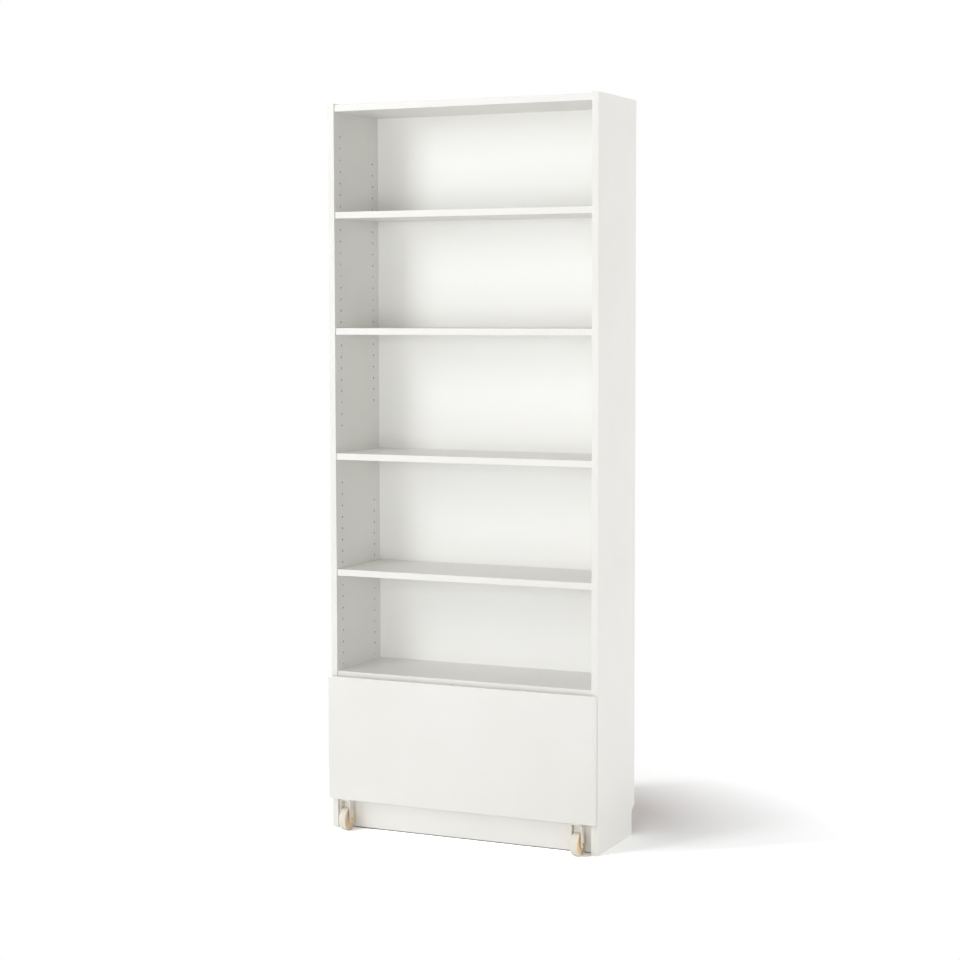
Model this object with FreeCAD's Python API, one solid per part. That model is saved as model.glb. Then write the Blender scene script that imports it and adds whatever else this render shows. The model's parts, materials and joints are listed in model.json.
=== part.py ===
import FreeCAD, Part
import math
import os

from FreeCAD import Vector

# A tall open bookcase with one wide drawer at the bottom.
# All sizes are millimetres. X runs across, Y from front to back, Z up from the floor.
# Every piece is modelled with Y = 0 on the side panels' front edges, and moved at the end so that the
# origin lies under the middle of the whole object.

# ---- case ----
case_width = 800.0
case_height = 2020.0
case_depth = 280.0
side_thickness = 18.0
shelf_thickness = 18.0          # top, fixed shelves, loose shelves and base alike
front_recess = 4.0              # how far the shelves' front edges lie behind the sides' front edges
top_drop = 3.7                  # from the sides' upper ends down to the top panel
edge_round = 0.8                # eased front edges
middle_shelf_height = 1038.0    # floor to the underside of the fixed middle shelf
drawer_shelf_height = 427.0     # floor to the underside of the shelf over the drawer
base_height = 80.0              # floor to the underside of the base panel

# ---- plinth and the clearance for a skirting board ----
plinth_thickness = 16.0
plinth_setback = 24.0           # from the sides' front edges to the plinth
plinth_floor_gap = 3.0
notch_depth = 20.0
notch_height = 67.0             # the upright part of the notch
notch_rise = 16.0               # its slanting upper part

# ---- back, two leaves of hardboard in grooves ----
back_thickness = 3.0
back_inset = 13.0               # from the leaves' rear faces to the sides' rear edges
back_groove_depth = 6.0
back_play = 0.2                 # free room round a leaf in its groove
leaf_gap = 0.6                  # between the two leaves, behind the middle shelf

# ---- shelf-pin holes and loose shelves ----
pin_radius = 2.5
pin_hole_depth = 12.0
pin_pitch = 32.0
pin_top_drop = 66.8             # from the top panel's underside to the highest front hole
pin_floor_gap = 14.0            # least height of a hole over the shelf that closes the drawer bay
front_column = 37.0             # from the sides' front edges to the front column of holes
rear_column_margin = 50.0       # from the rear column to the sides' rear edges
front_blank = 60.0              # no holes nearer than this to the fixed panels above the drawer bay
rear_blank = 125.0
pin_sides = 8                   # pins and the holes they sit in; the mount's row is round
spare_hole_sides = 6
top_room = 275.0                # wanted free heights: each loose shelf takes the nearest row of holes
second_room = 302.0
bottom_room = 268.0
spare_row_drop = 158.0          # from the upper loose shelf down to the row kept for one more shelf
shelf_sink = 2.0                # how far a shelf's underside lies below its pins' centres
pin_length = 17.0
pin_seat_length = 9.0           # the part of a pin inside the side panel
pocket_length = 9.5             # the pocket for a pin's free end, under a loose shelf
shelf_side_gap = 0.6
shelf_back_gap = 2.0
pin_clearance = 0.05

# ---- fixings ----
fit = 0.03                      # radial room of a hidden fixing in its bore
tip_room = 1.0                  # from a fixing's tip to the end of its hole
fixing_sides = 6                # hidden fixings are prisms, to keep their faces few
cam_radius = 7.4
cam_sides = 8
cam_depth = 12.2
cam_setback = 24.0              # from the joint face to the cam's centre
cam_mouth_play = 0.12           # radial room of a bolt inside its cam lock
cam_drive_radius = 2.2          # the square recess for a screwdriver
cam_drive_depth = 1.6
cam_drive_sides = 4
cam_bolt_radius = 3.0
cam_thread_radius = 2.4
cam_thread_length = 10.0
case_cam_front = 52.0           # from the sides' front edges to the front cams
case_cam_rear_margin = 50.0     # from the rear cams to the back
dowel_radius = 4.0
dowel_length = 30.0
dowel_in_side = 11.0
plinth_dowel_margin = 20.0      # from the plinth's upper and lower edges
nail_radius = 0.8
nail_length = 20.0
nail_head_radius = 1.9
nail_head_height = 0.6
nail_count = 3                  # in each row
nail_margin = 60.0
nail_sides = 6
seam_nail_rise = 4.5            # the seam's two nail rows above and below the middle shelf's centre

# ---- drawer box ----
front_height = 346.0
front_thickness = 16.0
front_bottom = 86.5             # floor to the drawer front's lower edge
front_gap = 4.0                 # between the drawer front and the case
front_round = 1.0
drawer_board = 12.0
drawer_side_gap = 5.0
drawer_rear_gap = 8.0
drawer_lift = 6.0               # from the base panel up to the drawer sides
drawer_side_height = 280.0
drawer_bottom_thickness = 4.0
drawer_bottom_rise = 14.0       # from the sides' lower edges up to the bottom board
drawer_groove_depth = 5.0
drawer_cam_radius = 5.9
drawer_cam_depth = 9.0
drawer_cam_setback = 22.0
drawer_cam_margin = 34.0        # from the drawer sides' upper edges and from the bottom board
drawer_dowel_radius = 3.0
drawer_dowel_length = 24.0
drawer_dowel_in_front = 9.0
back_screw_radius = 2.2
back_screw_length = 44.0
back_screw_head_radius = 4.2
back_screw_head_height = 3.0
back_screw_count = 3
back_screw_margin = 34.0        # from the drawer back's upper and lower edges
bottom_nail_count = 5
buffer_radius = 4.0
buffer_play = 0.2
buffer_margin = 24.0            # from the drawer front's upper and lower edges to a buffer's centre

# ---- casters under the drawer front ----
caster_inset = 52.0             # from the case's outer face to the caster's middle
wheel_radius = 31.5             # to the outside of the tyre
wheel_width = 20.0
wheel_bore_radius = 5.0
tyre_thickness = 3.2
tyre_bevel = 1.2                # between the tread and the tyre's sides
fork_gap = 26.0                 # between the fork's legs
fork_strip = 2.0
fork_bend = 2.0                 # inside radius of the bends
fork_foot_radius = 9.5
fork_tab_height = 30.0
fork_tab_round = 5.0
fork_tab_screws = 14.0          # between the two screws
fork_screw_drop = 12.0          # from the tab's upper edge
caster_axle_radius = 3.0
caster_axle_bore = 1.5
rivet_head_radius = 5.5
rivet_head_height = 1.6
bush_end_play = 0.2             # between the bush's ends and the fork's legs
running_fit = 0.05              # radial room of a wheel on its axle

# ---- rollers under the drawer's rear corners ----
roller_radius = 9.0
roller_width = 10.0
roller_floor_gap = 0.3
roller_setback = 21.0           # from the drawer's rear face to the roller's axis
roller_plate_thickness = 2.0
roller_plate_length = 44.0
roller_plate_height = 13.0
roller_plate_bevel = 3.0
roller_screw_spacing = 32.0
stud_radius = 3.0
stud_head_radius = 5.5
stud_head_height = 1.5
stud_end_play = 0.3
stop_setback = 8.0              # from the sides' front edges to the stop that holds the drawer in
stop_height = 6.0
stop_length = 18.0
stop_width = 9.0
stop_screw_setback = 6.0        # from the stop's rear face
stop_gap = 0.5                  # left between roller and stop with the drawer fully out

# ---- small screws ----
screw_radius = 1.5
screw_length = 9.0
screw_head_radius = 3.0
screw_head_height = 1.6
stop_screw_length = 16.0

# ---- tools ----
over = 1.0                      # how far a cutting shape runs past the face that it opens
touch = 0.01                    # lengths closer than this count as equal

# ---- worked out from the above ----
half_width = case_width / 2
inner = half_width - side_thickness
top_z = case_height - top_drop - shelf_thickness
back_y = case_depth - back_inset - back_thickness
rear_column = case_depth - rear_column_margin
case_cam_rear = back_y - case_cam_rear_margin
dowel_column = (case_cam_front + case_cam_rear) / 2
seam_z = middle_shelf_height + shelf_thickness / 2
base_top = base_height + shelf_thickness
first_pin_z = top_z - pin_top_drop
pin_rod_radius = pin_radius - pin_clearance
pocket_radius = pin_radius + pin_clearance
drawer_front_back = -front_gap
drawer_front_face = drawer_front_back - front_thickness
drawer_outer = inner - drawer_side_gap
drawer_inner = drawer_outer - drawer_board
drawer_rear = back_y - drawer_rear_gap
drawer_back_front = drawer_rear - drawer_board
side_low = base_top + drawer_lift
side_top = side_low + drawer_side_height
bottom_z = side_low + drawer_bottom_rise
bottom_top = bottom_z + drawer_bottom_thickness
caster_x = half_width - caster_inset
caster_y = drawer_front_face + front_thickness / 2
fork_half = fork_gap / 2 + fork_strip
fork_rear = drawer_front_back + fork_strip
fork_front = 2 * caster_y - fork_rear
fork_foot = wheel_radius - fork_foot_radius
roller_y = drawer_rear - roller_setback
roller_z = base_top + roller_floor_gap + roller_radius
plate_x = drawer_inner - roller_plate_thickness
roller_x = plate_x - stud_end_play - roller_width / 2
stop_rear = stop_setback + stop_length
stop_top = base_top + stop_height
front_reach = wheel_radius - caster_y
frame_shift = (case_depth - front_reach) / 2

X = Vector(1, 0, 0)
Y = Vector(0, 1, 0)
Z = Vector(0, 0, 1)


# ---- basic shapes ----

def board(x, y, z):
    # a box between three (low, high) pairs
    low = Vector(x[0], y[0], z[0])
    return Part.makeBox(x[1] - x[0], y[1] - y[0], z[1] - z[0], low)


def face_of(points):
    return Part.Face(Part.makePolygon(points + points[:1]))


def rod(radius, start, along, length, sides=0):
    # a round rod, or with sides a prism whose flats touch the same circle
    if not sides:
        return Part.makeCylinder(radius, length, start, along)
    across = Y if abs(along.x) > 0.5 else X
    up = along.cross(across)
    corner = radius / math.cos(math.pi / sides)
    points = []
    for i in range(sides):
        turn = (2 * i + 1) * math.pi / sides
        points.append(start + across * (corner * math.cos(turn)) + up * (corner * math.sin(turn)))
    return face_of(points).extrude(along * length)


def turned(profile, centre):
    # a profile of (distance along X, radius) points, turned about the X line through centre
    points = [centre + Vector(x, 0, r) for x, r in profile]
    return face_of(points).revolve(centre, X, 360)


def mirrored(shape):
    return shape.mirror(Vector(0, 0, 0), X)


def both(shapes):
    return shapes + [mirrored(shape) for shape in shapes]


def evenly(low, high, count):
    step = (high - low) / (count - 1)
    return [low + i * step for i in range(count)]


def edges_at(shape, direction, axis, level):
    # the edges that run along a direction in the plane where the axis has this level
    found = []
    for edge in shape.Edges:
        along = abs(edge.tangentAt(edge.FirstParameter).dot(direction)) > 1 - touch
        if along and all(abs(end.Point.dot(axis) - level) < touch for end in edge.Vertexes):
            found.append(edge)
    return found


def eased(shape, directions, y, radius):
    # the front edges that run along these directions, rounded
    edges = []
    for direction in directions:
        edges += edges_at(shape, direction, Y, y)
    return shape.makeFillet(radius, edges)


# ---- fixings ----

def cam_fitting(seat, along, out, half_board, radius, depth, setback):
    # a cam fitting's two pieces and the holes for them. seat is where the bolt crosses the joint,
    # along points into the board that holds the lock, and out leaves the face that the lock is let into
    centre = seat + along * setback
    face = centre + out * half_board
    into = out * -1
    tip = seat - along * cam_thread_length
    hole_end = tip - along * tip_room
    thread = rod(cam_thread_radius, tip, along, cam_thread_length, fixing_sides)
    shank = rod(cam_bolt_radius, seat, along, setback, fixing_sides)
    mouth = rod(cam_bolt_radius + cam_mouth_play, seat, along, setback + fit, fixing_sides)
    drive = rod(cam_drive_radius, face, into, cam_drive_depth, cam_drive_sides)
    way = rod(cam_bolt_radius + fit, seat, along, setback, fixing_sides)
    pocket = rod(radius + fit, face, into, depth + fit, cam_sides)
    thread_hole = rod(cam_thread_radius + fit, hole_end, along, cam_thread_length + tip_room, fixing_sides)
    return {
        "bolt": thread.fuse(shank),
        "lock": rod(radius, face, into, depth, cam_sides).cut(mouth).cut(drive),
        "thread_hole": thread_hole,
        "lock_hole": way.fuse(pocket),
    }


def nail(head, along):
    shank = rod(nail_radius, head, along, nail_length, nail_sides)
    cap = rod(nail_head_radius, head, along * -1, nail_head_height, nail_sides)
    return shank.fuse(cap)


def nail_hole(head, along):
    return rod(nail_radius + fit, head, along, nail_length + tip_room, nail_sides)


def pan_screw(head, along, length):
    shank = rod(screw_radius, head, along, length, fixing_sides)
    cap = rod(screw_head_radius, head, along * -1, screw_head_height, fixing_sides)
    return shank.fuse(cap)


def pan_screw_hole(head, along, length):
    return rod(screw_radius + fit, head, along, length + tip_room, fixing_sides)


# ---- shelf-pin holes ----

def pin_rows(blank):
    # the grid hangs from the top panel and leaves room round the fixed panels above the drawer bay
    lowest = drawer_shelf_height + shelf_thickness + pin_floor_gap
    count = 1 + int((first_pin_z - lowest) / pin_pitch)
    grid = [first_pin_z - i * pin_pitch for i in range(count)]
    return [z for z in grid if top_z - z >= blank and abs(z - seam_z) >= blank]


def nearest_row(underside):
    return min(pin_rows(rear_blank), key=lambda z: abs(z - shelf_sink - underside))


shelf_rows = {"upper": nearest_row(top_z - top_room - shelf_thickness)}
shelf_rows["second"] = nearest_row(shelf_rows["upper"] - shelf_sink - second_room - shelf_thickness)
shelf_rows["lower"] = nearest_row(drawer_shelf_height + shelf_thickness + bottom_room)
spare_row = nearest_row(shelf_rows["upper"] - shelf_sink - spare_row_drop)
hole_sides = {row: pin_sides for row in shelf_rows.values()}
hole_sides[spare_row] = 0


def pin_holes():
    # in the left side panel
    holes = []
    for column, blank in ((front_column, front_blank), (rear_column, rear_blank)):
        for z in pin_rows(blank):
            start = Vector(-inner, column, z)
            sides = hole_sides.get(z, spare_hole_sides)
            holes.append(rod(pin_radius, start, X * -1, pin_hole_depth, sides))
    return holes


# ---- fixings of the case ----

# height of each fixed panel's underside, and which way its cams face
fixed_panels = {
    "top_panel": (top_z, Z),
    "shelf_fixed_middle": (middle_shelf_height, Z * -1),
    "shelf_over_drawer": (drawer_shelf_height, Z * -1),
    "base_panel": (base_height, Z * -1),
}


def case_cams(underside, out):
    # the left end's cam fittings of one fixed panel
    fittings = []
    for y in (case_cam_front, case_cam_rear):
        seat = Vector(-inner, y, underside + shelf_thickness / 2)
        fittings.append(cam_fitting(seat, X, out, shelf_thickness / 2, cam_radius, cam_depth, cam_setback))
    return fittings


def dowel(x, y, z):
    return rod(dowel_radius, Vector(x - dowel_in_side, y, z), X, dowel_length, fixing_sides)


def dowel_hole(x, y, z):
    start = Vector(x - dowel_in_side - fit, y, z)
    return rod(dowel_radius + fit, start, X, dowel_length + 2 * fit, fixing_sides)


def case_dowel_points():
    return [(-inner, dowel_column, z + shelf_thickness / 2) for z, out in fixed_panels.values()]


def plinth_dowel_points():
    y = plinth_setback + plinth_thickness / 2
    heights = (plinth_floor_gap + plinth_dowel_margin, base_height - plinth_dowel_margin)
    return [(-inner, y, z) for z in heights]


def nail_rows():
    # (height, leaf) of each row of nails in the back
    return [
        (top_z + shelf_thickness / 2, "upper"),
        (seam_z + seam_nail_rise, "upper"),
        (seam_z - seam_nail_rise, "lower"),
        (drawer_shelf_height + shelf_thickness / 2, "lower"),
        (base_height + shelf_thickness / 2, "lower"),
    ]


def back_nail_heads(leaf=None):
    heads = []
    reach = inner - nail_margin
    for z, row_leaf in nail_rows():
        if leaf in (None, row_leaf):
            for x in evenly(-reach, reach, nail_count):
                heads.append(Vector(x, back_y + back_thickness, z))
    return heads


# ---- boards of the case ----

def side_panel_left():
    notch_y = case_depth - notch_depth
    outline = [(0, 0), (notch_y, 0), (notch_y, notch_height), (case_depth, notch_height + notch_rise),
               (case_depth, case_height), (0, case_height)]
    corners = [Vector(-half_width, y, z) for y, z in outline]
    panel = face_of(corners).extrude(X * side_thickness)
    panel = eased(panel, [Z], 0, edge_round)
    groove = board((-inner - back_groove_depth, -inner),
                   (back_y - back_play, back_y + back_thickness + back_play),
                   (base_height - back_play, case_height))
    cuts = [groove] + pin_holes()
    for z, out in fixed_panels.values():
        cuts += [fitting["thread_hole"] for fitting in case_cams(z, out)]
    cuts += [dowel_hole(*point) for point in case_dowel_points() + plinth_dowel_points()]
    return panel.cut(cuts)


def fixed_panel(name):
    z, out = fixed_panels[name]
    panel = board((-inner, inner), (front_recess, back_y), (z, z + shelf_thickness))
    panel = eased(panel, [X], front_recess, edge_round)
    cuts = both([fitting["lock_hole"] for fitting in case_cams(z, out)])
    cuts += both([dowel_hole(-inner, dowel_column, z + shelf_thickness / 2)])
    for head in back_nail_heads():
        if z < head.z < z + shelf_thickness:
            cuts.append(nail_hole(head, Y * -1))
    return panel.cut(cuts)


def base_panel():
    cuts = both([pan_screw_hole(head, Z * -1, stop_screw_length) for head in stop_screw_heads()])
    return fixed_panel("base_panel").cut(cuts)


def plinth_board():
    plinth = board((-inner, inner), (plinth_setback, plinth_setback + plinth_thickness),
                   (plinth_floor_gap, base_height))
    return plinth.cut(both([dowel_hole(*point) for point in plinth_dowel_points()]))


def back_panel(leaf):
    reach = inner + back_groove_depth - back_play
    low, high = (seam_z + leaf_gap / 2, top_z + shelf_thickness)
    if leaf == "lower":
        low, high = (base_height, seam_z - leaf_gap / 2)
    sheet = board((-reach, reach), (back_y, back_y + back_thickness), (low, high))
    return sheet.cut([nail_hole(head, Y * -1) for head in back_nail_heads(leaf)])


def loose_shelf(row):
    z = row - shelf_sink
    half = inner - shelf_side_gap
    shelf = board((-half, half), (front_recess, back_y - shelf_back_gap), (z, z + shelf_thickness))
    shelf = eased(shelf, [X], front_recess, edge_round)
    # open-ended pockets, each with its ceiling on its pin
    pockets = []
    start = -half - over
    end = -half + pocket_length
    arch_z = row + pin_rod_radius - pocket_radius
    for y in (front_column, rear_column):
        arch = rod(pocket_radius, Vector(start, y, arch_z), X, end - start, pin_sides)
        slot = board((start, end), (y - pocket_radius, y + pocket_radius), (z - over, arch_z))
        pockets.append(arch.fuse(slot))
    return shelf.cut(both(pockets))


def shelf_pins(row):
    pins = []
    for y in (front_column, rear_column):
        start = Vector(-inner - pin_seat_length, y, row)
        pins.append(rod(pin_rod_radius, start, X, pin_length, pin_sides))
    return both(pins)


# ---- drawer ----

def drawer_cams():
    # the left drawer side's fittings; their bolts run back from the drawer front
    fittings = []
    for z in (bottom_top + drawer_cam_margin, side_top - drawer_cam_margin):
        seat = Vector(-drawer_inner - drawer_board / 2, drawer_front_back, z)
        fittings.append(cam_fitting(seat, Y, X, drawer_board / 2, drawer_cam_radius, drawer_cam_depth,
                                    drawer_cam_setback))
    return fittings


def drawer_dowel(play=0.0):
    # midway between the cam fittings; with some play, the hole for it
    start = Vector(-drawer_inner - drawer_board / 2, drawer_front_back - drawer_dowel_in_front - play,
                   (bottom_top + side_top) / 2)
    return rod(drawer_dowel_radius + play, start, Y, drawer_dowel_length + 2 * play, fixing_sides)


def drawer_back_screws(play=0.0):
    # the left end's flat-headed screws; with some play, the holes for them
    screws = []
    for z in evenly(bottom_top + back_screw_margin, side_top - back_screw_margin, back_screw_count):
        head = Vector(-drawer_outer, drawer_rear - drawer_board / 2, z)
        shank = rod(back_screw_radius + play, head, X, back_screw_length + play, fixing_sides)
        cap = rod(back_screw_head_radius + play, head, X, back_screw_head_height + play, fixing_sides)
        screws.append(shank.fuse(cap))
    return screws


def drawer_front():
    front = board((-half_width, half_width), (drawer_front_face, drawer_front_back),
                  (front_bottom, front_bottom + front_height))
    front = eased(front, [X, Z], drawer_front_face, front_round)
    reach = drawer_inner + drawer_groove_depth
    groove = board((-reach, reach), (drawer_front_back - drawer_groove_depth, drawer_front_back),
                   (bottom_z - back_play, bottom_top + back_play))
    cuts = both([fitting["thread_hole"] for fitting in drawer_cams()] + [drawer_dowel(fit)])
    cuts += both([pan_screw_hole(head, Y * -1, screw_length) for head in fork_screw_heads()])
    return front.cut(cuts + [groove])


def drawer_side_left():
    side = board((-drawer_outer, -drawer_inner), (drawer_front_back, drawer_rear), (side_low, side_top))
    groove = board((-drawer_inner - drawer_groove_depth, -drawer_inner), (drawer_front_back, drawer_rear),
                   (bottom_z - back_play, bottom_top + back_play))
    cuts = [groove, drawer_dowel(fit)] + [fitting["lock_hole"] for fitting in drawer_cams()]
    cuts += drawer_back_screws(fit)
    cuts += [pan_screw_hole(head, X * -1, screw_length) for head in roller_screw_heads()]
    return side.cut(cuts)


def drawer_back():
    back = board((-drawer_inner, drawer_inner), (drawer_back_front, drawer_rear), (bottom_top, side_top))
    cuts = both(drawer_back_screws(fit))
    cuts += [nail_hole(head, Z) for head in bottom_nail_heads()]
    return back.cut(cuts)


def bottom_nail_heads():
    y = drawer_rear - drawer_board / 2
    reach = drawer_inner - nail_margin
    return [Vector(x, y, bottom_z) for x in evenly(-reach, reach, bottom_nail_count)]


def drawer_bottom():
    reach = drawer_inner + drawer_groove_depth - back_play
    low = drawer_front_back - drawer_groove_depth + back_play
    sheet = board((-reach, reach), (low, drawer_rear), (bottom_z, bottom_top))
    return sheet.cut([nail_hole(head, Z) for head in bottom_nail_heads()])


def front_buffers():
    # rubber pads between the drawer front and the sides' front edges
    x = side_thickness / 2 - half_width
    length = front_gap - buffer_play
    pads = []
    for z in (front_bottom + buffer_margin, front_bottom + front_height - buffer_margin):
        pads.append(rod(buffer_radius, Vector(x, drawer_front_back, z), Y, length, fixing_sides))
    return both(pads)


# ---- left caster ----

def fork_screw_heads():
    z = front_bottom + fork_tab_height - fork_screw_drop
    half = fork_tab_screws / 2
    return [Vector(-caster_x + x, fork_rear, z) for x in (-half, half)]


def caster_fork_left():
    # one bent strip: two legs, the web under the drawer front and a tab screwed behind it
    web_under = front_bottom - fork_strip
    outside = board((-caster_x - fork_half, -caster_x + fork_half), (fork_front, fork_rear),
                    (fork_foot, front_bottom))
    outside = outside.makeFillet(fork_bend + fork_strip, edges_at(outside, Y, Z, front_bottom))
    inside = board((-caster_x - fork_gap / 2, -caster_x + fork_gap / 2),
                   (fork_front - over, fork_rear + over), (fork_foot - over, web_under))
    inside = inside.makeFillet(fork_bend, edges_at(inside, Y, Z, web_under))
    bow = outside.cut(inside).common(fork_side_view())
    start = Vector(-caster_x - fork_half, caster_y, wheel_radius)
    axle_hole = rod(caster_axle_radius + fit, start, X, 2 * fork_half)
    screw_holes = [pan_screw_hole(head, Y * -1, fork_strip) for head in fork_screw_heads()]
    return bow.fuse(fork_tab()).removeSplitter().cut([axle_hole] + screw_holes)


def fork_side_view():
    # the legs taper from the web to a round foot about the axle, each flank tangent to the foot
    x = -caster_x - fork_half
    half = caster_y - fork_front
    rise = front_bottom - wheel_radius
    lean = math.atan2(half, rise) - math.asin(fork_foot_radius / math.hypot(half, rise))
    touch_y = fork_foot_radius * math.cos(lean)
    touch_z = wheel_radius - fork_foot_radius * math.sin(lean)
    corner = Vector(x, fork_front, front_bottom)
    front_touch = Vector(x, caster_y - touch_y, touch_z)
    low = Vector(x, caster_y, fork_foot)
    rear_touch = Vector(x, caster_y + touch_y, touch_z)
    other = Vector(x, fork_rear, front_bottom)
    edges = [
        Part.makeLine(corner, front_touch),
        Part.Arc(front_touch, low, rear_touch).toShape(),
        Part.makeLine(rear_touch, other),
        Part.makeLine(other, corner),
    ]
    return Part.Face(Part.Wire(edges)).extrude(X * (2 * fork_half))


def fork_tab():
    # bent up from the web's rear edge, between the bends of the legs
    half = fork_gap / 2 - fork_bend
    low = front_bottom - fork_strip
    high = front_bottom + fork_tab_height
    tab = board((-caster_x - half, -caster_x + half), (drawer_front_back, fork_rear), (low, high))
    return tab.makeFillet(fork_tab_round, edges_at(tab, Y, Z, high))


def caster_axle_left():
    # a tubular rivet through both legs
    end = fork_half + rivet_head_height
    half = [(fork_half, caster_axle_radius), (fork_half, rivet_head_radius), (end, rivet_head_radius),
            (end, caster_axle_bore)]
    profile = half + [(-x, r) for x, r in reversed(half)]
    return turned(profile, Vector(-caster_x, caster_y, wheel_radius))


def caster_wheel_left():
    # the wooden disc inside the tyre
    half = wheel_width / 2
    start = Vector(-caster_x - half, caster_y, wheel_radius)
    disc = rod(wheel_radius - tyre_thickness, start, X, wheel_width)
    return disc.cut(rod(wheel_bore_radius, start, X, wheel_width))


def caster_tyre_left():
    # a flat rubber ring, stretched and glued on the disc's rim
    half = wheel_width / 2
    side = [(half, wheel_radius - tyre_thickness + fit), (half, wheel_radius - tyre_bevel),
            (half - tyre_bevel, wheel_radius)]
    profile = side + [(-x, r) for x, r in reversed(side)]
    return turned(profile, Vector(-caster_x, caster_y, wheel_radius))


def caster_bush_left():
    # it holds the wheel midway between the fork's legs
    half = fork_gap / 2 - bush_end_play
    start = Vector(-caster_x - half, caster_y, wheel_radius)
    bush = rod(wheel_bore_radius - fit, start, X, 2 * half)
    return bush.cut(rod(caster_axle_radius + running_fit, start, X, 2 * half))


# ---- left rear roller ----

def roller_screw_heads():
    z = side_low + roller_plate_height / 2
    half = roller_screw_spacing / 2
    return [Vector(-plate_x, roller_y + y, z) for y in (-half, half)]


def rear_roller_bracket_left():
    half = roller_plate_length / 2
    high = side_low + roller_plate_height
    plate = board((-drawer_inner, -plate_x), (roller_y - half, roller_y + half), (side_low, high))
    corners = edges_at(plate, X, Z, side_low) + edges_at(plate, X, Z, high)
    plate = plate.makeChamfer(roller_plate_bevel, corners)
    stud_hole = rod(stud_radius + fit, Vector(-drawer_inner, roller_y, roller_z), X, roller_plate_thickness)
    screw_holes = [pan_screw_hole(head, X * -1, screw_length) for head in roller_screw_heads()]
    return plate.cut([stud_hole] + screw_holes)


def rear_roller_stud_left():
    # riveted into the bracket's plate, with a flat head inside the roller
    head = roller_plate_thickness + roller_width + 2 * stud_end_play
    end = head + stud_head_height
    profile = [(0, 0), (0, stud_radius), (head, stud_radius), (head, stud_head_radius),
               (end, stud_head_radius), (end, 0)]
    return turned(profile, Vector(-drawer_inner, roller_y, roller_z))


def rear_roller_left():
    start = Vector(-roller_x - roller_width / 2, roller_y, roller_z)
    roller = rod(roller_radius, start, X, roller_width)
    return roller.cut(rod(stud_radius + running_fit, start, X, roller_width))


def drawer_travel():
    # how far the drawer rolls out before its rollers are stop_gap short of the stops' upper edges
    reach = math.sqrt(roller_radius ** 2 - (roller_z - stop_top) ** 2)
    return roller_y - stop_rear - reach - stop_gap


def stop_screw_heads():
    return [Vector(-roller_x, stop_rear - stop_screw_setback, stop_top)]


def roller_stop_left():
    x = -roller_x - stop_width / 2
    outline = [(stop_setback, base_top), (stop_rear, base_top), (stop_rear, stop_top),
               (stop_setback + stop_height, stop_top)]
    stop = face_of([Vector(x, y, z) for y, z in outline]).extrude(X * stop_width)
    return stop.cut([pan_screw_hole(head, Z * -1, stop_screw_length) for head in stop_screw_heads()])


# ---- all pieces ----

def make_pieces():
    cams = []
    for z, out in fixed_panels.values():
        cams += case_cams(z, out)
    pieces = {
        "top_panel": fixed_panel("top_panel"),
        "shelf_fixed_middle": fixed_panel("shelf_fixed_middle"),
        "shelf_over_drawer": fixed_panel("shelf_over_drawer"),
        "base_panel": base_panel(),
        "plinth_board": plinth_board(),
        "back_panel_upper": back_panel("upper"),
        "back_panel_lower": back_panel("lower"),
        "case_cam_bolts": both([fitting["bolt"] for fitting in cams]),
        "case_cam_locks": both([fitting["lock"] for fitting in cams]),
        "case_dowels": both([dowel(*point) for point in case_dowel_points()]),
        "plinth_dowels": both([dowel(*point) for point in plinth_dowel_points()]),
        "back_nails": [nail(head, Y * -1) for head in back_nail_heads()],
        "roller_stop_screws": both([pan_screw(head, Z * -1, stop_screw_length)
                                    for head in stop_screw_heads()]),
        "drawer_front": drawer_front(),
        "drawer_back": drawer_back(),
        "drawer_bottom": drawer_bottom(),
        "drawer_cam_bolts": both([fitting["bolt"] for fitting in drawer_cams()]),
        "drawer_cam_locks": both([fitting["lock"] for fitting in drawer_cams()]),
        "drawer_dowels": both([drawer_dowel()]),
        "drawer_back_screws": both(drawer_back_screws()),
        "drawer_bottom_nails": [nail(head, Z) for head in bottom_nail_heads()],
        "front_buffers": front_buffers(),
        "caster_fork_screws": both([pan_screw(head, Y * -1, screw_length) for head in fork_screw_heads()]),
        "caster_axles": both([caster_axle_left()]),
        "rear_roller_studs": both([rear_roller_stud_left()]),
        "rear_roller_screws": both([pan_screw(head, X * -1, screw_length) for head in roller_screw_heads()]),
    }
    for name, row in shelf_rows.items():
        pieces["shelf_" + name] = loose_shelf(row)
        pieces["shelf_pins_" + name] = shelf_pins(row)
    left_pieces = {
        "side_panel": side_panel_left(),
        "drawer_side": drawer_side_left(),
        "roller_stop": roller_stop_left(),
        "caster_fork": caster_fork_left(),
        "caster_wheel": caster_wheel_left(),
        "caster_tyre": caster_tyre_left(),
        "caster_bush": caster_bush_left(),
        "rear_roller_bracket": rear_roller_bracket_left(),
        "rear_roller": rear_roller_left(),
    }
    for name, shape in left_pieces.items():
        pieces[name + "_left"] = shape
        pieces[name + "_right"] = mirrored(shape)
    return pieces


def export(name, shape):
    solid_group = Part.makeCompound(shape) if isinstance(shape, list) else shape
    placed = solid_group.translated(Vector(0, -frame_shift, 0))
    placed.exportStep("parts/" + name + ".step")


os.makedirs("parts", exist_ok=True)
for piece_name, piece in make_pieces().items():
    export(piece_name, piece)
print("travel of the drawer:", round(drawer_travel(), 2))
print("front of the casters to the frame's origin:", frame_shift + front_reach)
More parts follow.
